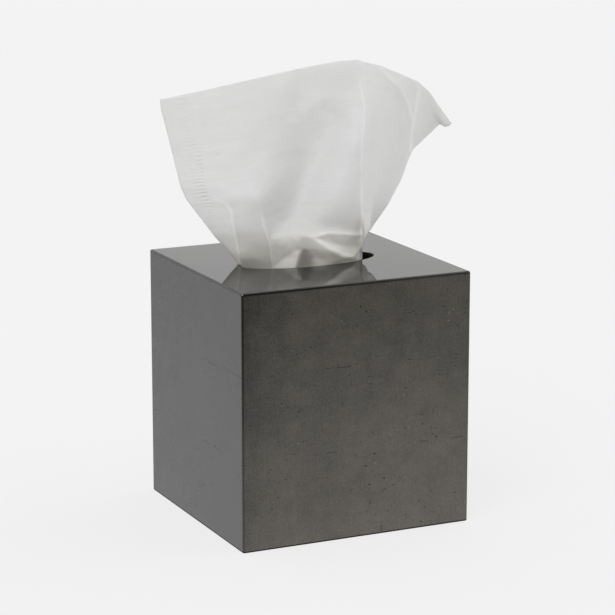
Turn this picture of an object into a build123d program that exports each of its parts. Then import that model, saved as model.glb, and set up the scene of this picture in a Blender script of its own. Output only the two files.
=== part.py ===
"""Lacquered tissue box cover, over a carton of tissues with one tissue pulled up through its mouth."""
import os
from math import cos, radians, sin

from build123d import *

# Cover: boards glued into a box with no bottom, sizes in millimetres
COVER_WIDTH = 140.0
COVER_DEPTH = 133.0
COVER_HEIGHT = 146.0
WALL = 7.0
TOP_BOARD = 7.0
EDGE_ROUND = 1.2
RIM_EASE = 0.5
MOUTH_LENGTH = 82.0
MOUTH_WIDTH = 34.0
MOUTH_ROUND = 1.2

# Carton: one folded blank of card, standing on the table inside the cover
CARTON_GAP = 4.0
CARTON_HEADROOM = 13.0
CARD = 0.5
FOLD_ROUND = 0.9
CARTON_MOUTH_LENGTH = 92.0
CARTON_MOUTH_WIDTH = 40.0
INNER_FLAP = 46.0
GLUE_FLAP = 14.0
GLUE_FLAP_TAPER = 6.0

# Pack: the interfolded tissues that are left, bent over into a tight horseshoe
PACK_SIDE_GAP = 1.5
PACK_HEADROOM = 7.0
PACK_SHOULDER = 30.0

# Pulled tissue: a thin sheet, fanned out in a plane that is turned from the mouth's long axis
SHEET_THICKNESS = 0.3
SHEET_TURN = 25.2
SHEET_CLEARANCE = 0.4
TAIL_NECK = 0.94
TAIL_RISE = 0.33

# Its rails, from the left edge to the right edge. Each has its place in the mouth, as shares of the mouth's
# half length and half width, and its points above the cover's top, lowest first: across the fan, back and up.
RAILS = {
    "left_edge": (
        (-0.94, 0.10),
        ((-41, -14, 4.5), (-52.5, -14, 17), (-67, -14, 37.5), (-76, -14, 65), (-82, -14, 94.5)),
    ),
    "first_fold": (
        (-0.88, -0.24),
        ((-38, -20, 7), (-43.5, -20, 20), (-50.5, -18, 40.5), (-56, -16, 68), (-61, -15, 98.5)),
    ),
    "second_fold": (
        (-0.60, -0.50),
        ((-22, -19, 8), (-26, -20, 22), (-31, -18, 45.5), (-36, -14, 73), (-40, -12, 103)),
    ),
    "pocket": (
        (0.02, 0.12),
        ((-1, -8, 10), (-4, -10, 26), (-6, -3, 49.5), (-5, 0, 78), (-4, -3, 109)),
    ),
    "ray": (
        (0.16, -0.60),
        ((12, -15, 10), (12, -16, 27), (13, -8, 51.5), (15, -4, 81), (12, -3, 112)),
    ),
    "centre_fold": (
        (0.72, -0.36),
        ((31, -4, 12), (30.5, -8, 29), (30.5, -9, 54.5), (33, -8, 85), (28.5, -3, 114.5)),
    ),
    "back_fold": (
        (0.78, 0.02),
        ((34.5, 7, 8), (36.5, 8, 24), (40.5, 10, 47.5), (45, 10, 78), (45.5, 11, 107)),
    ),
    "back_panel": (
        (0.52, 0.36),
        ((29, 14, 6), (36, 20, 18), (45.5, 26, 39.5), (57, 28, 68), (66, 27, 94.5)),
    ),
    "right_edge": (
        (0.26, 0.50),
        ((24, 23, 1), (38, 33, 12), (50.5, 46, 31.5), (60.5, 52, 52.5), (84, 48, 69)),
    ),
}

CARTON_SIDE = min(COVER_WIDTH, COVER_DEPTH) - 2 * (WALL + CARTON_GAP)
CARTON_HEIGHT = COVER_HEIGHT - TOP_BOARD - CARTON_HEADROOM
PACK_SIDE = CARTON_SIDE - 2 * (2 * CARD + PACK_SIDE_GAP)
PACK_FLOOR = 2 * CARD
PACK_TOP = CARTON_HEIGHT - PACK_HEADROOM


def standing_box(width, depth, low, high):
    """A box centred on the vertical axis, between two heights."""
    return Pos(0, 0, low) * Box(width, depth, high - low, align=(Align.CENTER, Align.CENTER, Align.MIN))


def oval_bore(length, width, low, high):
    """The oval prism that cuts a mouth, between two heights."""
    return Pos(0, 0, low) * extrude(Ellipse(length / 2, width / 2), high - low)


def make_cover():
    """Four walls and a top, with rounded outer edges and an oval mouth with a rounded lip."""
    shell = standing_box(COVER_WIDTH, COVER_DEPTH, 0, COVER_HEIGHT)
    shell = fillet(shell.edges().filter_by(Axis.Z) + shell.faces().sort_by(Axis.Z)[-1].edges(), EDGE_ROUND)
    hollow_height = COVER_HEIGHT - TOP_BOARD
    shell -= standing_box(COVER_WIDTH - 2 * WALL, COVER_DEPTH - 2 * WALL, 0, hollow_height)
    shell -= oval_bore(MOUTH_LENGTH, MOUTH_WIDTH, hollow_height, COVER_HEIGHT)
    upper_lip = shell.edges().filter_by(GeomType.ELLIPSE).sort_by(Axis.Z)[-1]
    shell = fillet(upper_lip, MOUTH_ROUND)
    rim = shell.faces().sort_by(Axis.Z)[0]
    return chamfer(rim.edges(), RIM_EASE)


def make_carton():
    """Card walls with a glue flap, and a bottom and a top of one outer and two inner flaps each."""
    carton = standing_box(CARTON_SIDE, CARTON_SIDE, 0, CARTON_HEIGHT)
    carton = fillet(carton.edges().filter_by(Axis.Z), FOLD_ROUND)
    carton -= standing_box(CARTON_SIDE - 2 * CARD, CARTON_SIDE - 2 * CARD, CARD, CARTON_HEIGHT - CARD)
    flap_depth = CARTON_SIDE - 2 * CARD
    flap_middle = CARTON_SIDE / 2 - CARD - INNER_FLAP / 2
    for side in (-1, 1):
        for low in (CARD, CARTON_HEIGHT - 2 * CARD):
            carton += Pos(side * flap_middle, 0, 0) * standing_box(INNER_FLAP, flap_depth, low, low + CARD)
    carton += make_glue_flap()
    top_low = CARTON_HEIGHT - 2 * CARD
    return carton - oval_bore(CARTON_MOUTH_LENGTH, CARTON_MOUTH_WIDTH, top_low, CARTON_HEIGHT)


def make_glue_flap():
    """The tapered flap that is glued inside the back wall, beside its left corner."""
    left = CARD - CARTON_SIDE / 2
    low = 2 * CARD
    high = CARTON_HEIGHT - 2 * CARD
    outline = Polyline(
        (left, low),
        (left + GLUE_FLAP, low + GLUE_FLAP_TAPER),
        (left + GLUE_FLAP, high - GLUE_FLAP_TAPER),
        (left, high),
        close=True,
    )
    back_wall = CARTON_SIDE / 2 - CARD
    return Pos(0, back_wall, 0) * extrude(Plane.XZ * make_face(outline), CARD)


def make_pack():
    """The bent pack, its legs pressed together, with the round shoulders of the bend."""
    arch = Rectangle(PACK_SIDE, PACK_TOP - PACK_FLOOR, align=(Align.CENTER, Align.MIN))
    arch = fillet(arch.vertices().group_by(Axis.Y)[-1], PACK_SHOULDER)
    return Pos(0, 0, PACK_FLOOR) * extrude(Plane.YZ * arch, PACK_SIDE / 2, both=True)


def fan_place(across, back, up):
    """A point of the fanned sheet, from its own turned plane and from the cover's top."""
    turn = radians(SHEET_TURN)
    x = across * cos(turn) + back * sin(turn)
    y = back * cos(turn) - across * sin(turn)
    return Vector(x, y, COVER_HEIGHT + up)


def rail_points(in_mouth, in_fan):
    """A rail's points, from the pack's crown through both mouths to the sheet's top edge."""
    x = in_mouth[0] * MOUTH_LENGTH / 2
    y = in_mouth[1] * MOUTH_WIDTH / 2
    tail_end = Vector(x * TAIL_NECK, y * TAIL_NECK, PACK_TOP + SHEET_CLEARANCE)
    in_carton = Vector(x * TAIL_NECK, y * TAIL_NECK, CARTON_HEIGHT + CARTON_HEADROOM * TAIL_RISE)
    in_cover = Vector(x, y, COVER_HEIGHT - TOP_BOARD / 2)
    return [tail_end, in_carton, in_cover] + [fan_place(*point) for point in in_fan]


def net_skin(net):
    """A smooth skin through a net of rails and the ribs that cross them."""
    ribs = zip(*net)
    return Face.make_gordon_surface([Spline(*rib) for rib in ribs], [Spline(*rail) for rail in net])


def make_tissue():
    """The gathered and fanned sheet: a front skin, a back skin behind it, and the four edges between them."""
    net = [rail_points(*rail) for rail in RAILS.values()]
    front = net_skin(net)
    back = net_skin([[point - front.normal_at(point) * SHEET_THICKNESS for point in rail] for rail in net])
    sides = []
    for edge in front.edges():
        partner = back.edges().sort_by_distance(edge.position_at(0.5))[0]
        sides.append(Face.make_surface_from_curves(edge, partner))
    return Solid(Shell([front, back] + sides))


os.makedirs("parts", exist_ok=True)
export_step(make_cover(), "parts/cover.step")
export_step(make_carton(), "parts/tissue_carton.step")
export_step(make_pack(), "parts/tissue_pack.step")
export_step(make_tissue(), "parts/tissue.step")
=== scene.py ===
import math

import bpy
import numpy as np
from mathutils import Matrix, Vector, noise


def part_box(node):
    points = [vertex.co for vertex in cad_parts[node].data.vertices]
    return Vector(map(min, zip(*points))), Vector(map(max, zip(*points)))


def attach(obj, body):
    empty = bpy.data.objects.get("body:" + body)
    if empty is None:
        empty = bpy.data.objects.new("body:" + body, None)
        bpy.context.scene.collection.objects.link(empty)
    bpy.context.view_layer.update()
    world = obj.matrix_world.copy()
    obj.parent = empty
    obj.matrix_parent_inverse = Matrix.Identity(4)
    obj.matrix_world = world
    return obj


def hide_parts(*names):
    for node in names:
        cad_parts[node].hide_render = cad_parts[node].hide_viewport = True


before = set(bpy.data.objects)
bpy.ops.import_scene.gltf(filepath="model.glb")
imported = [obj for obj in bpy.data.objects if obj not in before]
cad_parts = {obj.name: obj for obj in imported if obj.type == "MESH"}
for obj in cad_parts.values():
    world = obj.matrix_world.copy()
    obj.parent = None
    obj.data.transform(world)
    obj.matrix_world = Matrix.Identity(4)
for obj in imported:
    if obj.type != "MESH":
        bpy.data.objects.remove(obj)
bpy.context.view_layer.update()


# Tissue carton: the folding carton that the tissues are sold in, cut and creased from one blank of thin
# grey-backed card, with its flaps glued. It stands on the table, and the cover is let down over it.

CARD_DARK = (0.50, 0.47, 0.42, 1.0)
CARD_PALE = (0.64, 0.61, 0.56, 1.0)


class Paint:
    """A node material that is being made up, from places on the object or on a sheet's map."""

    def __init__(self, name, sheet_map=None):
        self.material = bpy.data.materials.new(name)
        self.material.use_nodes = True
        self.tree = self.material.node_tree
        self.tree.nodes.clear()
        if sheet_map:
            self.place = self.add("UVMap", {"uv_map": sheet_map}).outputs["UV"]
        else:
            self.place = self.add("TexCoord").outputs["Object"]

    def feed(self, socket, value):
        """Links an output to a socket, or sets the socket to a plain value."""
        if isinstance(value, bpy.types.NodeSocket):
            self.tree.links.new(value, socket)
        else:
            socket.default_value = value

    def add(self, kind, settings=None, **inputs):
        """A node of one kind, with its settings and what its inputs are fed."""
        made = self.tree.nodes.new("ShaderNode" + kind)
        for key, value in (settings or {}).items():
            setattr(made, key, value)
        for key, value in inputs.items():
            self.feed(made.inputs[key.replace("_", " ")], value)
        return made

    def calc(self, operation, *values):
        """The result of one Math node."""
        made = self.add("Math", {"operation": operation})
        for socket, value in zip(made.inputs, values):
            self.feed(socket, value)
        return made.outputs[0]

    def product(self, first, *others):
        """Several values multiplied."""
        for value in others:
            first = self.calc("MULTIPLY", first, value)
        return first

    def most(self, first, *others):
        """The largest of several values."""
        for value in others:
            first = self.calc("MAXIMUM", first, value)
        return first

    def ramp(self, value, start, end, low=0.0, high=1.0):
        """A smooth step, from low where the value is at start to high where it is at end."""
        smooth = {"interpolation_type": "SMOOTHSTEP"}
        made = self.add("MapRange", smooth, Value=value, From_Min=start, From_Max=end, To_Min=low, To_Max=high)
        return made.outputs["Result"]

    def cloud(self, scale, detail, rough=0.55):
        """Noise, with one scale or with one for each axis."""
        stretch = scale if isinstance(scale, tuple) else (scale, scale, scale)
        spread = self.add("Mapping", Vector=self.place, Scale=stretch).outputs["Vector"]
        made = self.add("TexNoise", Vector=spread, Scale=1.0, Detail=detail, Roughness=rough)
        return made.outputs["Fac"]

    def tint(self, share, dark, pale, start=0.0, end=1.0):
        """A colour from dark, where the share is at start, to pale, where it is at end."""
        made = self.add("ValToRGB", Fac=share)
        for stop, position, colour in zip(made.color_ramp.elements, (start, end), (dark, pale)):
            stop.position = position
            stop.color = colour
        return made.outputs["Color"]

    def mixed(self, share, first, second):
        """A colour between two, by the share of the second."""
        made = self.add("Mix", {"data_type": "RGBA"})
        # this node's sockets share their names, so those for colours are found by number
        for number, value in ((0, share), (6, first), (7, second)):
            self.feed(made.inputs[number], value)
        return made.outputs[2]

    def bump(self, height, strength, distance):
        """The normal of a surface with a fine relief."""
        return self.add("Bump", Height=height, Strength=strength, Distance=distance).outputs["Normal"]

    def blended(self, share, first, second):
        """A shader between two, by the share of the second."""
        made = self.add("MixShader", Fac=share)
        self.feed(made.inputs[1], first)
        self.feed(made.inputs[2], second)
        return made.outputs["Shader"]

    def finished(self, shader):
        """The material, with a shader on its surface."""
        self.add("OutputMaterial", Surface=shader)
        return self.material


def dress(node_object, material):
    """Gives a CAD node one material all over."""
    node_object.data.materials.clear()
    node_object.data.materials.append(material)


def card_material():
    """Uncoated card: a felt of fibres over faint clouding."""
    paint = Paint("carton_card")
    fibres = paint.cloud(420.0, detail=5.0, rough=0.65)
    clouds = paint.cloud(28.0, detail=3.0, rough=0.5)
    share = paint.calc("MULTIPLY_ADD", fibres, 0.35, clouds)
    tint = paint.tint(share, CARD_DARK, CARD_PALE, start=0.3, end=0.75)
    relief = paint.bump(fibres, strength=0.25, distance=0.0002)
    skin = paint.add("BsdfPrincipled", Base_Color=tint, Roughness=0.86, Normal=relief)
    return paint.finished(skin.outputs["BSDF"])


dress(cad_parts["tissue_carton"], card_material())


# Pack of tissues: the interfolded paper sheets that are left in the carton, bent over into a horseshoe so that
# the top one comes up through the mouth. Their edges show as fine upright lines on the pack's ends.

PLY_DARK = (0.60, 0.59, 0.57, 1.0)
PLY_PALE = (0.83, 0.82, 0.80, 1.0)


def pack_material():
    """Soft paper in many plies, one beside another."""
    paint = Paint("stacked_tissue")
    bands = {"wave_type": "BANDS", "bands_direction": "Y"}
    wave = paint.add("TexWave", bands, Vector=paint.place, Scale=260.0, Distortion=2.5)
    paint.feed(wave.inputs["Detail"], 3.0)
    paint.feed(wave.inputs["Detail Scale"], 1.6)
    plies = wave.outputs["Fac"]
    tint = paint.tint(plies, PLY_DARK, PLY_PALE)
    relief = paint.bump(plies, strength=0.5, distance=0.0004)
    skin = paint.add("BsdfPrincipled", Base_Color=tint, Roughness=0.95, Normal=relief)
    return paint.finished(skin.outputs["BSDF"])


dress(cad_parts["tissue_pack"], pack_material())


# Cover: a box of fibreboard with no bottom, glued up, laid over with squares of dark pewter leaf and sealed under
# a clear gloss lacquer, with the inside painted flat black. It is put over the carton and rests on the table.

COVER_WALL = 0.007
LIP_OVAL = (0.0421, 0.0181)
LIP_LEAFED = 0.00012
FOOT_BLACK = 0.0002
LEAF_SEAMS = (0.0510, 0.0990)
# where painted shade darkens the left of the faces and where painted light brightens the foot
SHADED_COLUMN = (-0.054, -0.036)
SHADED_LEFT_STRIP = (-0.070, -0.054)
LIT_FOOT = (0.0, 0.035)
SIDE_SHADE_GRADE = (0.05, 0.14)

# These bands hold the painted edge shade, dark arris lines, corner glints and the side faces' painted tone.
# Bands along the outer edges, from one depth under a face of the cover to another, or up from the table.
EDGE_BAND = (0.0019, 0.0004)
TOP_ARRIS_START = (0.0019, 0.0011)
TOP_ARRIS_END = (0.0006, 0.0002)
TOP_ARRIS_FADE = (-0.05, 0.05)
UPRIGHT_ARRIS = (0.0013, 0.0002)
FOOT_ARRIS = (0.0006, 0.0013)
TIP_BAND = (0.0011, 0.0006)
SIDE_SHADE_BAND = (0.0004, 0.0001)

LEAF_DARK = (0.045, 0.0410, 0.0350, 1.0)
LEAF_PALE = (0.156, 0.1422, 0.1205, 1.0)
# painted shade of the side faces, paler low down and darker high up
SIDE_SHADE_LOW = (0.122, 0.118, 0.122, 1.0)
SIDE_SHADE_HIGH = (0.105, 0.102, 0.106, 1.0)
MARK_DARK = (0.030, 0.028, 0.025, 1.0)
SPECK_PALE = (0.33, 0.32, 0.30, 1.0)
# painted shade on the edges and arrises, and a painted glint on the corners
EDGE_SHADE = (0.030, 0.029, 0.027, 1.0)
ARRIS_SHADE = (0.012, 0.012, 0.011, 1.0)
CORNER_GLINT = (0.24, 0.235, 0.225, 1.0)
BARE_BLACK = (0.011, 0.011, 0.011, 1.0)
LEAF_SHEEN = (0.12, 0.12, 0.12, 1.0)


def leaf_colour(paint, mottle, grain, x, z, top):
    """The leaf: large clouding, mottling, upright and level brush lines and a fine grain, with painted shade at
    the left and painted light at the foot.
    """
    layers = (
        (paint.cloud(15.0, detail=4.0), 0.85),
        (mottle, 0.75),
        (paint.cloud((1150.0, 1150.0, 60.0), detail=3.0, rough=0.6), 0.26),
        (paint.cloud((90.0, 90.0, 1150.0), detail=3.0, rough=0.6), 0.26),
        (grain, 0.90),
    )
    tone = 0.5
    for layer, weight in layers:
        tone = paint.calc("MULTIPLY_ADD", layer, weight, paint.calc("ADD", tone, -weight / 2))
    # painted shade darkens the first column of squares most at its left and top; painted light makes the foot
    # paler
    shaded_column = paint.ramp(x, *SHADED_COLUMN, low=1.0, high=0.0)
    tone = paint.calc("MULTIPLY_ADD", shaded_column, paint.ramp(z, 0.0, top, low=-0.06, high=-0.20), tone)
    tone = paint.calc("ADD", tone, paint.ramp(x, *SHADED_LEFT_STRIP, low=-0.11, high=0.0))
    tone = paint.calc("ADD", tone, paint.ramp(z, *LIT_FOOT, low=0.13, high=0.0))
    return paint.tint(tone, LEAF_DARK, LEAF_PALE)


def leaf_marks(paint, z):
    """Dark marks, which are flecks, torn spots and broken seams, and the pale specks of lifted leaf."""
    # the seams, where one square of leaf laps the next
    wander = paint.calc("MULTIPLY_ADD", paint.cloud(30.0, detail=4.0), 0.006, -0.003)
    lines = []
    for seam in LEAF_SEAMS:
        off = paint.calc("ABSOLUTE", paint.calc("ADD", paint.calc("SUBTRACT", z, seam), wander))
        lines.append(paint.ramp(off, 0.0001, 0.0006, low=1.0, high=0.0))
    broken = paint.ramp(paint.cloud(62.0, detail=3.0), 0.54, 0.62)
    seams = paint.product(paint.most(*lines), broken, 0.8)

    # the other marks are gathered in places
    gathered = paint.cloud(34.0, detail=2.0)
    level_tears = paint.ramp(paint.cloud((280.0, 280.0, 560.0), detail=3.0), 0.665, 0.715)
    upright_tears = paint.ramp(paint.cloud((600.0, 600.0, 260.0), detail=3.0), 0.685, 0.735)
    tears = paint.product(paint.most(level_tears, upright_tears), paint.ramp(gathered, 0.49, 0.57))
    flecks = paint.ramp(paint.cloud(430.0, detail=2.0), 0.695, 0.735)
    flecks = paint.product(flecks, paint.ramp(gathered, 0.46, 0.52))
    specks = paint.ramp(paint.cloud(520.0, detail=2.0), 0.685, 0.725)
    specks = paint.product(specks, paint.ramp(gathered, 0.60, 0.64))
    return paint.most(flecks, tears, seams), specks


def near_face(paint, side, start, end):
    """A smooth step from 0 at one depth under an outer face of the cover to 1 at another."""
    value, limit = side
    return paint.ramp(value, limit - start, limit - end)


def edge_shade_and_glints(paint, width, depth, height, x):
    """Masks for painted shade along the edges, painted dark lines on the arrises and at the foot, and painted
    glints at the corners.
    """
    near_x, near_y, near_z = (near_face(paint, side, *EDGE_BAND) for side in (width, depth, height))
    upright = paint.product(near_x, near_y, 0.4)
    edges = paint.most(upright, paint.product(near_y, near_z), paint.product(near_x, near_z))

    top_arris = paint.product(
        near_face(paint, height, *TOP_ARRIS_START),
        near_y,
        paint.calc("SUBTRACT", 1.0, near_face(paint, height, *TOP_ARRIS_END)),
        paint.ramp(x, *TOP_ARRIS_FADE, low=1.0, high=0.55),
    )
    z, top = height
    upright_arris = paint.product(
        near_face(paint, width, *UPRIGHT_ARRIS),
        near_face(paint, depth, *UPRIGHT_ARRIS),
        paint.ramp(z, 0.0, top, low=0.4, high=0.85),
    )
    # painted dark lines along the arrises, and a painted contact shadow along the foot
    arris_shade = paint.most(top_arris, paint.ramp(z, *FOOT_ARRIS, low=1.0, high=0.0), upright_arris)

    # painted glints where three edges meet
    corner_glints = paint.product(*[near_face(paint, side, *TIP_BAND) for side in (width, depth, height)])
    return edges, arris_shade, corner_glints


def painted_black(paint, width, depth, height):
    """Where the cover is painted flat black: the inside, the mouth's wall and the foot."""
    inside = [paint.calc("LESS_THAN", value, limit - COVER_WALL / 2) for value, limit in (width, depth, height)]
    across = paint.calc("POWER", paint.calc("DIVIDE", width[0], LIP_OVAL[0]), 2.0)
    along = paint.calc("POWER", paint.calc("DIVIDE", depth[0], LIP_OVAL[1]), 2.0)
    in_mouth = paint.calc("LESS_THAN", paint.calc("ADD", across, along), 1.0)
    z, top = height
    below_lip = paint.calc("LESS_THAN", z, top - LIP_LEAFED)
    foot = paint.calc("LESS_THAN", z, FOOT_BLACK)
    return paint.most(paint.product(*inside), paint.product(in_mouth, below_lip), foot)


def pewter_material():
    """Pewter leaf under gloss lacquer outside, and flat black paint inside."""
    paint = Paint("pewter_leaf_lacquer")
    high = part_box("cover")[1]
    apart = paint.add("SeparateXYZ", Vector=paint.place).outputs
    x, y, z = apart["X"], apart["Y"], apart["Z"]
    width = (paint.calc("ABSOLUTE", x), high.x)
    depth = (paint.calc("ABSOLUTE", y), high.y)
    height = (z, high.z)

    mottle = paint.cloud(95.0, detail=6.0, rough=0.62)
    grain = paint.cloud(860.0, detail=3.0, rough=0.6)
    marks, specks = leaf_marks(paint, z)
    edges, arris_shade, corner_glints = edge_shade_and_glints(paint, width, depth, height, x)
    black = painted_black(paint, width, depth, height)
    # painted shade on the side faces: a tone of their own, paler low down and darker towards the top
    side_shade = paint.mixed(paint.ramp(z, *SIDE_SHADE_GRADE), SIDE_SHADE_LOW, SIDE_SHADE_HIGH)
    # over the leaf: the sides' painted shade, real marks and specks, painted edge shade, arris lines and corner
    # glints, and black paint
    layers = (
        (near_face(paint, width, *SIDE_SHADE_BAND), 0.75, side_shade),
        (marks, 1.0, MARK_DARK),
        (specks, 0.6, SPECK_PALE),
        (edges, 0.6, EDGE_SHADE),
        (arris_shade, 0.9, ARRIS_SHADE),
        (corner_glints, 0.9, CORNER_GLINT),
        (black, 1.0, BARE_BLACK),
    )
    colour = leaf_colour(paint, mottle, grain, x, z, high.z)
    for where, strength, over in layers:
        colour = paint.mixed(paint.product(where, strength), colour, over)

    shown = paint.calc("SUBTRACT", 1.0, black)
    rough = paint.most(paint.calc("MULTIPLY_ADD", mottle, 0.2, 0.33), paint.product(black, 0.8))
    relief = paint.calc("MULTIPLY_ADD", marks, -1.0, paint.product(grain, 0.35))
    skin = paint.add(
        "BsdfPrincipled",
        Base_Color=colour,
        Metallic=shown,
        Roughness=rough,
        Normal=paint.bump(relief, strength=0.35, distance=0.0002),
        Specular_Tint=LEAF_SHEEN,
        Coat_Weight=paint.product(shown, paint.calc("MULTIPLY_ADD", arris_shade, -0.9, 1.0)),
        Coat_Roughness=0.025,
        Coat_IOR=1.5,
        Coat_Normal=paint.bump(paint.cloud(140.0, detail=2.0), strength=0.05, distance=0.0002),
    )
    return paint.finished(skin.outputs["BSDF"])


dress(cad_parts["cover"], pewter_material())


# Tissue: the top sheet of the pack, two plies of soft creped paper, pulled up through both mouths by its middle,
# gathered where it passes them and fanned out above. Its creases are those of the pack and those of the pull.

MILLIMETRE = 0.001
SHEET_TURN = math.radians(25.2)
SHEET_THICKNESS = 0.00016
TAIL_NECK = 0.94
TAIL_RISE = 0.33
TAIL_CLEARANCE = 0.4 * MILLIMETRE
MOUTH_HALF = (0.041, 0.017)

# Each rail runs up the sheet: its place in the mouth, as shares of the mouth's half length and half width, then
# its points above the cover's top in millimetres, lowest first: across the fan, back and up.
RAILS = (
    ((-0.94, 0.10), (-41, -14, 4.5), (-52.5, -14, 17), (-67, -14, 37.5), (-76, -14, 65), (-82, -14, 94.5)),
    ((-0.88, -0.24), (-38, -20, 7), (-43.5, -20, 20), (-50.5, -18, 40.5), (-56, -16, 68), (-61, -15, 98.5)),
    ((-0.60, -0.50), (-22, -19, 8), (-26, -20, 22), (-31, -18, 45.5), (-36, -14, 73), (-40, -12, 103)),
    ((0.02, 0.12), (-1, -8, 10), (-4, -10, 26), (-6, -3, 49.5), (-5, 0, 78), (-4, -3, 109)),
    ((0.16, -0.60), (12, -15, 10), (12, -16, 27), (13, -8, 51.5), (15, -4, 81), (12, -3, 112)),
    ((0.72, -0.36), (31, -4, 12), (30.5, -8, 29), (30.5, -9, 54.5), (33, -8, 85), (28.5, -3, 114.5)),
    ((0.78, 0.02), (34.5, 7, 8), (36.5, 8, 24), (40.5, 10, 47.5), (45, 10, 78), (45.5, 11, 107)),
    ((0.52, 0.36), (29, 14, 6), (36, 20, 18), (45.5, 26, 39.5), (57, 28, 68), (66, 27, 94.5)),
    ((0.26, 0.50), (24, 23, 1), (38, 33, 12), (50.5, 46, 31.5), (60.5, 52, 52.5), (84, 48, 69)),
)

# The mesh's steps, in stretches from one rail to another and from one row of their points to another.
ACROSS_STEPS = (
    (0.0, 0.85, 0.0009), (0.85, 1.35, 0.00045), (1.35, 1.85, 0.0008), (1.85, 2.3, 0.00045),
    (2.3, 5.3, 0.0007), (5.3, 8.0, 0.0009),
)
UP_STEPS = ((0.0, 2.0, 0.0016), (2.0, 4.3, 0.00052), (4.3, 7.0, 0.00095))

# The front view's eye, back and up from the middle of the cover's top in millimetres, and how far it looks down.
EYE_BACK = 1402.0
EYE_UP = 294.1
VIEW_DROP = math.atan2(EYE_UP, EYE_BACK)

# The sheet's outline as it is seen from the front, across the fan and up in millimetres. The right edge also has
# the place of each of its points between the rows of the net.
LEFT_OUTLINE = (
    (-37.6, -6.0), (-38.6, -4.2), (-39.6, -2.6), (-40.3, -0.9), (-52.5, 13.5), (-68.5, 35.0), (-71.5, 42.0),
    (-81.8, 87.0), (-82.2, 92.0),
)
TOP_OUTLINE = (
    (-82.2, 91.6), (-5.0, 109.3), (16.0, 113.1), (28.0, 114.0), (42.0, 110.6), (62.0, 102.2), (69.0, 96.3),
    (81.2, 78.2),
)
RIGHT_OUTLINE = (
    (4.0, 36.9, 19.0), (4.6, 45.8, 32.0), (5.25, 52.9, 45.8), (5.88, 57.4, 58.5), (6.04, 59.6, 63.4),
    (6.62, 72.1, 75.6), (6.74, 74.5, 78.0), (6.88, 77.6, 76.4), (6.95, 79.5, 76.7), (7.0, 81.2, 78.2),
)
GATHERED_OUTLINE = ((31.4, 8.0), (33.1, 12.5), (34.8, 16.9), (90.0, 30.0))

# Where the sheet begins to be drawn out to each outline and where it is all the way there, by rail, by row or by
# its height as it is seen, and where the front ends at the fold to the side.
LEFT_RAILS = (0.9, 0.0)
LEFT_HEIGHTS = (-7.0, -5.0)
TOP_ROWS = (6.1, 7.0)
RIGHT_RAILS = (7.2, 8.0)
RIGHT_ROWS = (3.6, 4.0)
FOLD_RAILS = (5.2, 5.0)

# The creases of the pull: how far each comes forward at its start and end, its form and half width, how strong
# its painted highlight is, and its line on the sheet as it is seen from the front.
FOLD_FOOT = ((30.8, 51.0), (30.9, 34.5), (31.4, 18.5), (30.0, 8.0), (28.9, 0.1))
FOLD_HEAD = ((27.5, 113.0), (32.4, 87.6), (32.4, 79.7), (30.8, 64.0), (30.8, 51.0))
FRONT_CREASES = (
    (
        0.2, 1.2, "crisp", 0.8, 0.8,
        ((-55.0, 35.0), (-46.1, 32.8), (-42.9, 27.5), (-41.9, 20.2), (-40.3, 11.5), (-38.1, -2.3)),
    ),
    (-0.3, -0.9, "soft", 1.6, 0.0, ((-43.8, 31.0), (-39.6, 20.0), (-38.0, 11.5), (-35.8, -2.3))),
    (0.4, 1.3, "crisp", 0.8, 1.0, ((-27.0, 32.0), (-24.7, 20.2), (-21.5, 10.6), (-19.4, -4.3))),
    (1.0, 2.2, "soft", 7.0, 0.0, ((-70.0, 47.0), (-56.0, 40.0), (-46.0, 36.5), (-28.0, 36.0))),
    (-2.5, -2.5, "soft", 5.0, 0.0, ((-31.0, -5.5), (-21.0, -6.0))),
    (8.0, 2.0, "crisp", 14.0, 0.0, ((-82.0, 92.0), (-71.0, 42.0))),
    (3.5, 2.5, "soft", 11.0, 0.0, ((-14.0, 96.0), (-18.0, 48.0))),
    (
        -4.5, -6.0, "soft", 9.5, 0.0,
        ((16.0, 81.0), (9.0, 66.5), (3.0, 53.0), (-2.2, 36.0), (-7.4, 27.0), (-10.2, 22.5)),
    ),
    (2.5, 2.2, "soft", 9.0, 0.0, ((23.0, 66.5), (17.0, 48.5), (8.5, 34.0), (2.0, 21.0))),
    (-4.2, -6.8, "soft", 13.0, 0.0, ((6.0, 14.5), (31.0, 13.0))),
    (1.0, 1.1, "soft", 4.5, 0.0, ((-7.0, 78.0), (3.0, 89.0), (9.5, 93.0), (16.0, 89.0), (26.0, 79.5))),
    (5.0, 6.0, "soft", 12.0, 0.0, ((14.0, 113.0), (27.0, 114.0))),
    (1.0, 0.8, "crisp", 2.4, 0.5, FOLD_HEAD),
    (0.8, 1.6, "crisp", 2.4, 0.9, FOLD_FOOT),
    (0.0, 0.0, "soft", 1.0, 0.9, ((-2.0, 13.6), (3.0, 12.9), (12.0, 15.9), (30.3, 14.6))),
    (0.0, 0.0, "soft", 1.0, 0.9, ((1.0, 13.5), (13.5, 5.9), (20.8, 1.9), (26.2, 0.8))),
    (0.0, 0.0, "soft", 1.0, 0.9, ((1.0, 14.0), (13.5, 6.9), (20.8, 3.0), (26.2, 1.4))),
    (0.0, 0.0, "soft", 1.0, 0.7, ((1.0, 14.6), (13.5, 8.0), (20.8, 4.2), (26.2, 2.1))),
)
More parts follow.
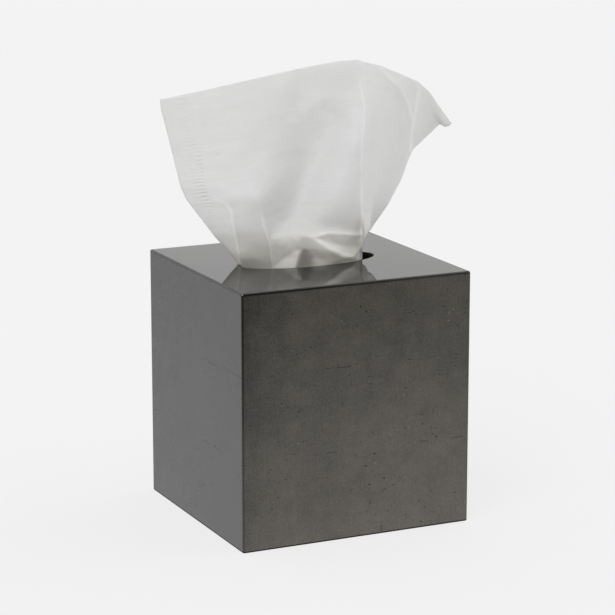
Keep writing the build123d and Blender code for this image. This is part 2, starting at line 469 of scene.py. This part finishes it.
SIDE_CREASES = (
    (0.8, 0.8, "crisp", 2.4, 0.5, FOLD_HEAD),
    (0.8, 1.6, "crisp", 2.4, 0.9, FOLD_FOOT),
    (1.0, 1.4, "crisp", 2.4, 0.6, ((39.0, 111.0), (43.9, 106.6), (53.4, 97.7), (57.4, 88.7), (59.1, 82.0))),
    (
        1.2, 1.4, "crisp", 2.0, 0.7,
        ((59.0, 106.0), (61.1, 102.7), (62.9, 98.2), (61.3, 86.5), (59.2, 75.2), (58.2, 62.8)),
    ),
    (-1.4, -1.0, "soft", 5.0, 0.0, ((50.0, 90.0), (51.0, 72.0), (45.0, 52.0))),
    (6.0, 6.0, "soft", 9.0, 0.0, ((64.0, 70.0), (81.0, 77.0))),
    (14.0, 8.0, "soft", 9.0, 0.0, ((60.0, 57.0), (52.0, 38.0), (44.0, 22.0), (36.0, 10.0))),
    (-7.0, -7.0, "soft", 25.0, 0.0, ((28.0, 66.0), (48.0, 62.0))),
    (3.0, 2.5, "soft", 12.0, 0.0, ((36.0, 112.0), (52.0, 106.0))),
)
# how wide the painted highlight along each crease is, and how far along the crease it grows to full strength
HIGHLIGHT_HALF = 0.6
HIGHLIGHT_RISE = 0.25
SMOOTHINGS = 2

# The hollow in the two left panels above the mouth, which is shallower at the mouth's left end.
HOLLOW_DEPTH = 9.5
HOLLOW_UP = -14.0
HOLLOW_HALF = 22.0
HOLLOW_ENDS = (-19.5, -4.0)
SHALLOW_SHARE = 0.65
SHALLOW_ACROSS = (-30.0, -42.0)
SHALLOW_UP = (14.0, -6.0)

# The star of facets between the arch and the front of the mouth, where the sheet is pushed in by the pull: its
# corners, across, up and forward, first those of the arch and then those of the foot, and the facets between.
STAR_CORNERS = (
    (-20.8, 11.6, 0.2), (-10.0, 14.5, 6.6), (-3.5, 14.4, 8.4), (3.0, 13.0, 7.0), (12.0, 15.9, 2.3),
    (32.0, 14.6, 3.4),
    (-19.4, -4.6, 2.3), (-13.0, -4.8, 7.3), (-6.2, -4.3, 13.9), (-0.5, -4.5, 1.9), (4.3, -4.4, 7.8),
    (6.8, -3.7, 7.4), (15.0, -2.8, 3.5), (27.0, -0.4, 5.8), (30.8, 0.3, 5.0),
    (-12.5, 1.3, 4.3), (-2.2, 6.8, 10.0), (1.0, 6.8, 8.9), (13.5, 10.3, 1.3), (13.5, 5.7, 4.8),
    (22.0, 7.5, 2.3), (20.8, 1.6, 7.8), (-5.6, 1.5, 11.5), (-7.5, 4.9, 7.9), (-12.0, 8.5, 5.2),
    (-4.0, 9.4, 9.1), (31.6, 8.0, 5.2), (26.0, 0.8, 9.2), (3.5, 2.5, 7.5),
)
STAR_ARCH = slice(0, 6)
STAR_FOOT = slice(6, 15)
STAR_FACETS = (
    (0, 1, 24), (0, 24, 15), (0, 15, 6), (1, 25, 24), (24, 25, 23), (24, 23, 15), (1, 2, 25), (2, 3, 25),
    (3, 17, 25), (25, 17, 16), (25, 16, 23), (15, 23, 22), (23, 16, 22), (6, 15, 7), (15, 22, 7), (22, 8, 7),
    (16, 8, 22), (16, 9, 8), (16, 28, 9), (16, 17, 28), (28, 10, 9), (28, 11, 10), (28, 12, 11), (19, 12, 28),
    (17, 19, 28), (3, 19, 17), (19, 21, 12), (21, 27, 13), (21, 13, 12), (3, 18, 19), (18, 21, 19),
    (18, 20, 21), (20, 27, 21), (3, 4, 18), (4, 20, 18), (4, 5, 20), (5, 26, 20), (20, 26, 27), (27, 26, 13),
    (26, 14, 13),
)
ARCH_HALVES = ((-20.8, 2.0), (-10.0, 9.0), (3.0, 5.5), (10.0, 1.8))
FOOT_EASE = 0.01
FACET_SLACK = 1e-6

# Small wrinkles: the depth, the length across and up, and the slice of noise of each kind of dent, with upright
# ones where the sheet is gathered, which fade out on the way up.
DENTS = ((0.55, 17.0, 13.0, 1.5), (0.22, 6.0, 5.0, 7.5), (0.15, 16.0, 3.4, 11.5))
UPRIGHT_DENTS = (0.6, 4.5, 26.0, 4.5)
UPRIGHT_FADE = 70.0

# The tail under the mouth stays smooth. In the mouth the sheet stops at the lip, and above the lip it is free.
SMOOTH_TAIL = (-14.0, -6.0)
LIP_SHARE = 0.95
LIP_HEIGHTS = (0.5, 3.5)
OPEN_ROOM = 30.0

RIPPLE_PLACE = 0.0130
RIPPLE_NARROWNESS = -70000.0
RIPPLE_RATE = 2900.0
RIPPLE_WANDER = 14.0
RIPPLES_BEGIN = (0.060, 0.084)
RIPPLES_FADE = (0.103, 0.114)
WARM_LIGHT_FOOT = (0.030, 0.060)
PAPER_DARK = (0.780, 0.788, 0.797, 1.0)
PAPER_PALE = (0.862, 0.870, 0.879, 1.0)
PAPER_WARM_LIGHT = (0.845, 0.827, 0.787, 1.0)
PAPER_HIGHLIGHT = (0.985, 0.985, 0.98, 1.0)
LIGHT_THROUGH = (0.85, 0.835, 0.79, 1.0)
THROUGH_SHARE = 0.3

cover_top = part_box("cover")[1].z
cover_underside = cover_top - COVER_WALL
carton_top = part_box("tissue_carton")[1].z
pack_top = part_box("tissue_pack")[1].z


def turned(across, back):
    """Places across and back in the fan's turned plane, along the cover's own axes."""
    x = across * math.cos(SHEET_TURN) + back * math.sin(SHEET_TURN)
    y = back * math.cos(SHEET_TURN) - across * math.sin(SHEET_TURN)
    return x, y


def fan_place(across, back, up):
    """A point of the fanned sheet, from its own turned plane and the cover's top."""
    x, y = turned(across, back)
    return (x * MILLIMETRE, y * MILLIMETRE, cover_top + up * MILLIMETRE)


def rail_points(in_mouth, *in_fan):
    """A rail's points from the pack's crown, through both mouths, to the sheet's top edge."""
    x = in_mouth[0] * MOUTH_HALF[0]
    y = in_mouth[1] * MOUTH_HALF[1]
    below = carton_top + (cover_underside - carton_top) * TAIL_RISE
    tail = [
        (x * TAIL_NECK, y * TAIL_NECK, pack_top + TAIL_CLEARANCE),
        (x * TAIL_NECK, y * TAIL_NECK, below),
        (x, y, (cover_top + cover_underside) / 2),
    ]
    return tail + [fan_place(*point) for point in in_fan]


def runs_of(lengths):
    """How far each point is from the first, from the lengths between them."""
    return np.concatenate([[0], np.cumsum(lengths)])


def spline_through(knots, values, places):
    """A natural cubic spline through values at knots, read at places; values may be of any shape."""
    gaps = np.diff(knots)
    count = len(knots)
    flat = values.reshape(count, -1)
    slopes = np.diff(flat, axis=0) / gaps[:, None]
    system = np.eye(count)
    right = np.zeros_like(flat)
    for k in range(1, count - 1):
        system[k, k - 1 : k + 2] = (gaps[k - 1], 2 * (gaps[k - 1] + gaps[k]), gaps[k])
        right[k] = 6 * (slopes[k] - slopes[k - 1])
    bends = np.linalg.solve(system, right)
    span = np.clip(np.searchsorted(knots, places, side="right") - 1, 0, count - 2)
    width = gaps[span][:, None]
    ahead = (knots[span + 1] - places)[:, None] / width
    behind = 1 - ahead
    curve = ahead * flat[span] + behind * flat[span + 1]
    curve += width**2 / 6 * ((ahead**3 - ahead) * bends[span] + (behind**3 - behind) * bends[span + 1])
    return curve.reshape((len(places),) + values.shape[1:])


def stepped(stretches, knots):
    """Places along knots, in stretches that each run between two knots' numbers at about one step."""
    numbers = np.arange(len(knots))
    places = [knots[0]]
    for start, end, step in stretches:
        low, high = np.interp((start, end), numbers, knots)
        places.extend(np.linspace(low, high, max(2, round((high - low) / step)) + 1)[1:])
    return np.array(places)


def eased(value, start, end):
    """A smooth step from 0 at start to 1 at end."""
    share = np.clip((value - start) / (end - start), 0.0, 1.0)
    return share * share * (3 - 2 * share)


def line_reach(line, across, up):
    """The distance of each point to a line, and its share of the way along it."""
    nearest = np.full(across.shape, np.inf)
    share = np.zeros(across.shape)
    lengths = [math.dist(start, end) for start, end in zip(line[:-1], line[1:])]
    passed = 0.0
    for start, end, length in zip(line[:-1], line[1:], lengths):
        run_across = end[0] - start[0]
        run_up = end[1] - start[1]
        ahead = ((across - start[0]) * run_across + (up - start[1]) * run_up) / length**2
        ahead = np.clip(ahead, 0.0, 1.0)
        reach = np.hypot(across - start[0] - ahead * run_across, up - start[1] - ahead * run_up)
        share = np.where(reach < nearest, (passed + ahead * length) / sum(lengths), share)
        nearest = np.minimum(nearest, reach)
        passed += length
    return nearest, share


def relief_of(creases, across, up):
    """How far the creases lift the sheet towards the viewer, in millimetres, and how strong their painted
    highlight is.
    """
    lift = np.zeros(across.shape)
    pale = np.zeros(across.shape)
    for first, last, form, half, crease_highlight, line in creases:
        reach, share = line_reach(line, across, up)
        profile = np.exp(-reach / half) if form == "crisp" else np.exp(-((reach / half) ** 2))
        lift += (first + (last - first) * share) * profile
        highlight_share = crease_highlight * np.minimum(1, share / HIGHLIGHT_RISE)
        pale = np.maximum(pale, highlight_share * np.exp(-((reach / HIGHLIGHT_HALF) ** 2)))
    return lift, pale


def star_lift(across, up):
    """How far the star's facets, and the sheet just above their arch, come forward."""
    corners = np.array(STAR_CORNERS)
    arch = corners[STAR_ARCH]
    foot = corners[STAR_FOOT]
    reach, share = line_reach([tuple(corner[:2]) for corner in arch], across, up)
    runs = runs_of(np.hypot(*np.diff(arch[:, :2], axis=0).T))
    crest = np.interp(share * runs[-1], runs, arch[:, 2])
    above = up > np.interp(across, arch[:, 0], arch[:, 1])
    half = np.interp(across, *zip(*ARCH_HALVES))
    lift = np.where(above, crest * np.exp(-reach / half), 0.0)
    held = np.maximum(up, np.interp(across, foot[:, 0], foot[:, 1]) + FOOT_EASE)
    for facet in STAR_FACETS:
        (ax, ay, az), (bx, by, bz), (cx, cy, cz) = corners[list(facet)]
        whole = (by - cy) * (ax - cx) + (cx - bx) * (ay - cy)
        first = ((by - cy) * (across - cx) + (cx - bx) * (held - cy)) / whole
        second = ((cy - ay) * (across - cx) + (ax - cx) * (held - cy)) / whole
        third = 1 - first - second
        inside = (np.minimum(np.minimum(first, second), third) >= -FACET_SLACK) & ~above
        lift = np.where(inside, first * az + second * bz + third * cz, lift)
    return lift


def dent(kind, across, up):
    """How far one kind of wrinkle lifts a place on the sheet, in millimetres."""
    depth, long_across, long_up, noise_slice = kind
    return depth * noise.noise((across / long_across, up / long_up, noise_slice))


def lip_room(across, back):
    """How far the sheet can come forward in the mouth before it meets the lip, in millimetres."""
    half_length, half_width = (half / MILLIMETRE * LIP_SHARE for half in MOUTH_HALF)
    x, y = turned(across, back)
    x, y = x / half_length, y / half_width
    step_x, step_y = turned(0.0, -math.cos(VIEW_DROP))
    step_x, step_y = step_x / half_length, step_y / half_width
    square = step_x**2 + step_y**2
    middle = (x * step_x + y * step_y) / square
    outside = (x**2 + y**2 - 1) / square
    return np.maximum(np.sqrt(np.maximum(middle**2 - outside, 0)) - middle, 0)


# the smooth sheet through the rails
net = np.array([rail_points(*rail) for rail in RAILS])
across_knots = runs_of(np.linalg.norm(np.diff(net, axis=0), axis=2).mean(axis=1))
up_knots = runs_of(np.linalg.norm(np.diff(net, axis=1), axis=2).mean(axis=0))
across_places = stepped(ACROSS_STEPS, across_knots)
up_places = stepped(UP_STEPS, up_knots)
rail_share = np.interp(across_places, across_knots, np.arange(len(across_knots)))[:, None]
row_share = np.interp(up_places, up_knots, np.arange(len(up_knots)))[None, :]
rows = spline_through(up_knots, net.transpose(1, 0, 2), up_places)
surface = spline_through(across_knots, rows.transpose(1, 0, 2), across_places)

# the same in the fan's plane in millimetres, and as it is seen from the front
fan_across = (surface[..., 0] * math.cos(SHEET_TURN) - surface[..., 1] * math.sin(SHEET_TURN)) / MILLIMETRE
fan_back = (surface[..., 0] * math.sin(SHEET_TURN) + surface[..., 1] * math.cos(SHEET_TURN)) / MILLIMETRE
fan_up = (surface[..., 2] - cover_top) / MILLIMETRE
nearness = EYE_BACK / (EYE_BACK + fan_back)
seen_across = fan_across * nearness
seen_up = EYE_UP + (fan_up - EYE_UP) * nearness

# the edges are drawn out to the outline
right = np.array(RIGHT_OUTLINE)
drawn = eased(rail_share, *RIGHT_RAILS) * eased(row_share, *RIGHT_ROWS)
pull_across = drawn * (np.interp(row_share[0], right[:, 0], right[:, 1]) - seen_across[-1])
pull_up = drawn * (np.interp(row_share[0], right[:, 0], right[:, 2]) - seen_up[-1])
left = np.array(LEFT_OUTLINE)
drawn = eased(rail_share, *LEFT_RAILS) * eased(seen_up[0], *LEFT_HEIGHTS)
pull_across += drawn * (np.interp(seen_up[0], left[:, 1], left[:, 0]) - seen_across[0])
seen_across += pull_across
seen_up += pull_up
top = np.array(TOP_OUTLINE)
rise = np.interp(seen_across[:, -1], top[:, 0], top[:, 1]) - seen_up[:, -1]
seen_up += eased(row_share, *TOP_ROWS) * rise[:, None]
gathered = np.array(GATHERED_OUTLINE)
gathered_edge = np.interp(seen_up, gathered[:, 1], gathered[:, 0])
seen_across = np.where(rail_share > FOLD_RAILS[1], np.minimum(seen_across, gathered_edge), seen_across)
fan_across = seen_across / nearness
fan_up = EYE_UP + (seen_up - EYE_UP) / nearness

# the creases, the hollow and the star lift it towards the viewer
in_front = eased(rail_share, *FOLD_RAILS)
front_lift, front_pale = relief_of(FRONT_CREASES, seen_across, seen_up)
side_lift, side_pale = relief_of(SIDE_CREASES, seen_across, seen_up)
hollow = HOLLOW_DEPTH * np.exp(-(((seen_up - HOLLOW_UP) / HOLLOW_HALF) ** 2))
hollow *= 1 - eased(seen_across, *HOLLOW_ENDS)
hollow *= 1 - SHALLOW_SHARE * eased(seen_across, *SHALLOW_ACROSS) * eased(seen_up, *SHALLOW_UP)
lift = in_front * (front_lift - hollow + star_lift(seen_across, seen_up)) + (1 - in_front) * side_lift
pale = in_front * front_pale + (1 - in_front) * side_pale
for _ in range(SMOOTHINGS):
    lift[1:-1] = (lift[:-2] + 2 * lift[1:-1] + lift[2:]) / 4
    lift[:, 1:-1] = (lift[:, :-2] + 2 * lift[:, 1:-1] + lift[:, 2:]) / 4
for column, across in enumerate(across_places / MILLIMETRE):
    for row, up in enumerate(up_places / MILLIMETRE):
        lift[column, row] += sum(dent(kind, across, up) for kind in DENTS)
        lift[column, row] += max(0.0, 1 - up / UPRIGHT_FADE) * dent(UPRIGHT_DENTS, across, up)
lift *= eased(fan_up, *SMOOTH_TAIL)
above_lip = eased(fan_up + lift * math.sin(VIEW_DROP), *LIP_HEIGHTS)
lift = np.minimum(lift, lip_room(fan_across, fan_back) + OPEN_ROOM * above_lip)
fan_back = fan_back - lift * math.cos(VIEW_DROP)
fan_up = fan_up + lift * math.sin(VIEW_DROP)
surface = np.stack(fan_place(fan_across, fan_back, fan_up), axis=-1)

# the mesh, with the sheet's flat map and the painted highlights of its creases, made as thick as the two plies
columns, levels = surface.shape[:2]
sheet_mesh = bpy.data.meshes.new("pulled_tissue")
grid = np.arange(columns * levels).reshape(columns, levels)
quads = np.stack([grid[:-1, :-1], grid[1:, :-1], grid[1:, 1:], grid[:-1, 1:]], axis=-1).reshape(-1, 4)
sheet_mesh.from_pydata(surface.reshape(-1, 3).tolist(), [], quads.tolist())
sheet_map = sheet_mesh.uv_layers.new(name="sheet")
top_runs = runs_of(np.linalg.norm(np.diff(net[:, -1], axis=0), axis=1))
flat_across = np.interp(rail_share[:, 0], np.arange(len(RAILS)), top_runs)
flat_places = np.stack(np.meshgrid(flat_across, up_places, indexing="ij"), axis=-1).reshape(-1, 2)
sheet_map.data.foreach_set("uv", flat_places[quads.reshape(-1)].astype(np.float32).reshape(-1))
highlight_map = sheet_mesh.attributes.new("crease_highlight", "FLOAT", "POINT")
highlight_map.data.foreach_set("value", pale.reshape(-1).astype(np.float32))
tissue = bpy.data.objects.new("pulled_tissue", sheet_mesh)
bpy.context.scene.collection.objects.link(tissue)
bpy.ops.object.select_all(action="DESELECT")
tissue.select_set(True)
bpy.context.view_layer.objects.active = tissue
bpy.ops.object.shade_smooth()
ply = tissue.modifiers.new("ply", "SOLIDIFY")
ply.thickness = SHEET_THICKNESS
ply.offset = 0.0
bpy.ops.object.modifier_apply(modifier="ply")


def tissue_material():
    """Creped paper that lets light through, a row of embossed ripples, painted crease highlights and painted warm
    light low down.
    """
    paint = Paint("soft_tissue_paper", sheet_map="sheet")
    apart = paint.add("SeparateXYZ", Vector=paint.place).outputs
    across, up = apart["X"], apart["Y"]

    # creping runs across the sheet, over a felt of fine fibres
    crepe = paint.cloud((90.0, 1150.0, 1.0), detail=3.0, rough=0.5)
    fibres = paint.cloud((900.0, 900.0, 1.0), detail=4.0, rough=0.5)

    # the ripples, beside the left edge, hold the two plies together
    beside = paint.calc("SUBTRACT", across, RIPPLE_PLACE)
    in_row = paint.calc("EXPONENT", paint.product(beside, beside, RIPPLE_NARROWNESS))
    wander = paint.cloud((60.0, 45.0, 1.0), detail=2.0, rough=0.5)
    phase = paint.calc("MULTIPLY_ADD", wander, RIPPLE_WANDER, paint.product(up, RIPPLE_RATE))
    pressed = paint.product(
        paint.ramp(paint.cloud((260.0, 55.0, 1.0), detail=3.0, rough=0.5), 0.42, 0.62),
        paint.ramp(up, *RIPPLES_BEGIN),
        paint.ramp(up, *RIPPLES_FADE, low=1.0, high=0.4),
    )
    ripples = paint.product(paint.calc("SINE", phase), in_row, pressed)
    height = paint.calc("MULTIPLY_ADD", fibres, 0.35, paint.calc("MULTIPLY_ADD", ripples, 1.9, crepe))
    relief = paint.bump(height, strength=0.5, distance=0.00022)

    # painted warm light low on the sheet, where it is gathered, and painted highlights that make the creases
    # paler
    share = paint.calc("MULTIPLY_ADD", crepe, 0.5, paint.product(fibres, 0.5))
    tint = paint.tint(share, PAPER_DARK, PAPER_PALE, start=0.25, end=0.75)
    # painted warm bounce light, low on the sheet
    tint = paint.mixed(paint.ramp(up, *WARM_LIGHT_FOOT, low=1.0, high=0.0), tint, PAPER_WARM_LIGHT)
    crease_highlight = paint.add("Attribute", {"attribute_name": "crease_highlight"}).outputs["Fac"]
    tint = paint.mixed(crease_highlight, tint, PAPER_HIGHLIGHT)
    front = paint.add("BsdfPrincipled", Base_Color=tint, Roughness=0.95, Specular_IOR_Level=0.1, Normal=relief)
    through = paint.add("BsdfTranslucent", Color=LIGHT_THROUGH, Normal=relief)
    return paint.finished(paint.blended(THROUGH_SHARE, front.outputs["BSDF"], through.outputs["BSDF"]))


tissue.data.materials.append(tissue_material())
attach(tissue, "root")
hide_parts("tissue")


# Floor, studio and camera: a pale seamless floor in a pale room that is darker on the side that the front faces,
# a large soft light from above and the left, a fill from the right, and the photograph's view of the cover.

PALE = (0.880, 0.880, 0.880, 1.0)
ROOM_WHITE = (1.0, 1.0, 1.0, 1.0)
DARK_SIDE = (-0.4261, -0.9047, 0.0)
DARK_FLOOR = (0.12, 0.62)
DARK_ROOM = (0.0, 0.75)
ROOM_LIGHT = 0.90
DARK_LIGHT = 0.22
FLOOR_SIZE = 24.0
FLOOR_CLEAN = 0.84

# Each light: its name, the angle that it fills in degrees, its energy and the way that it shines.
LIGHTS = (
    ("softbox", 50.0, 1.5, (0.52, 0.55, -0.65)),
    ("side_fill", 90.0, 1.0, (-0.98, 0.16, -0.12)),
)

VIEW_AZIMUTH = math.radians(-25.221)
VIEW_ELEVATION = math.radians(12.938)
VIEW_DISTANCE = 1.43853
VIEW_ASIDE = 0.00028
VIEW_HEIGHT = 0.11806
SENSOR_WIDTH = 36.0
LENS_LENGTH = 146.94


def floor_material():
    """A plain floor that keeps only a faint shadow, and that the lacquer mirrors darker on the dark side."""
    paint = Paint("pale_floor")
    towards_dark = paint.add("VectorMath", {"operation": "DOT_PRODUCT"})
    paint.feed(towards_dark.inputs[0], paint.place)
    paint.feed(towards_dark.inputs[1], DARK_SIDE)
    falloff = paint.ramp(towards_dark.outputs["Value"], *DARK_FLOOR, low=1.0, high=DARK_LIGHT)
    ray = paint.add("LightPath").outputs
    mirrored = ray["Is Glossy Ray"]
    strength = paint.calc("MULTIPLY_ADD", mirrored, paint.calc("SUBTRACT", falloff, 1.0), 1.0)
    seen = paint.calc("MULTIPLY_ADD", ray["Is Camera Ray"], FLOOR_CLEAN, mirrored)
    plain = paint.add("BsdfDiffuse", Color=PALE)
    glow = paint.add("Emission", Color=PALE, Strength=strength)
    return paint.finished(paint.blended(seen, plain.outputs["BSDF"], glow.outputs["Emission"]))


bpy.ops.object.select_all(action="DESELECT")
bpy.ops.mesh.primitive_plane_add(size=FLOOR_SIZE, location=(0.0, 0.0, 0.0))
floor = bpy.context.object
floor.name = "floor"
floor.data.materials.append(floor_material())

world = bpy.data.worlds.new("studio")
bpy.context.scene.world = world
world.use_nodes = True
tree = world.node_tree
sight = tree.nodes.new("ShaderNodeNewGeometry")
facing = tree.nodes.new("ShaderNodeVectorMath")
facing.operation = "DOT_PRODUCT"
facing.inputs[1].default_value = DARK_SIDE
shade = tree.nodes.new("ShaderNodeMapRange")
shade.interpolation_type = "SMOOTHSTEP"
shade.inputs["From Min"].default_value, shade.inputs["From Max"].default_value = DARK_ROOM
shade.inputs["To Min"].default_value = ROOM_LIGHT
shade.inputs["To Max"].default_value = DARK_LIGHT
background = tree.nodes["Background"]
background.inputs["Color"].default_value = ROOM_WHITE
tree.links.new(sight.outputs["Position"], facing.inputs[0])
tree.links.new(facing.outputs["Value"], shade.inputs["Value"])
tree.links.new(shade.outputs["Result"], background.inputs["Strength"])

for name, spread, energy, way in LIGHTS:
    light = bpy.data.lights.new(name, "SUN")
    light.angle = math.radians(spread)
    light.energy = energy
    lamp = bpy.data.objects.new(name, light)
    lamp.rotation_euler = Vector(way).to_track_quat("-Z", "Y").to_euler()
    bpy.context.scene.collection.objects.link(lamp)

lens = bpy.data.cameras.new("photograph_view")
lens.sensor_width = SENSOR_WIDTH
lens.lens = LENS_LENGTH
camera = bpy.data.objects.new("photograph_view", lens)
bpy.context.scene.collection.objects.link(camera)
aside = Vector((math.cos(VIEW_AZIMUTH), math.sin(VIEW_AZIMUTH), 0.0))
level = Vector((math.sin(VIEW_AZIMUTH), -math.cos(VIEW_AZIMUTH), 0.0))
upward = Vector((0.0, 0.0, 1.0))
back = level * math.cos(VIEW_ELEVATION) + upward * math.sin(VIEW_ELEVATION)
camera.location = aside * VIEW_ASIDE + upward * VIEW_HEIGHT + back * VIEW_DISTANCE
camera.rotation_euler = (-back).to_track_quat("-Z", "Y").to_euler()
bpy.context.scene.camera = camera
bpy.context.scene.view_settings.view_transform = "Standard"
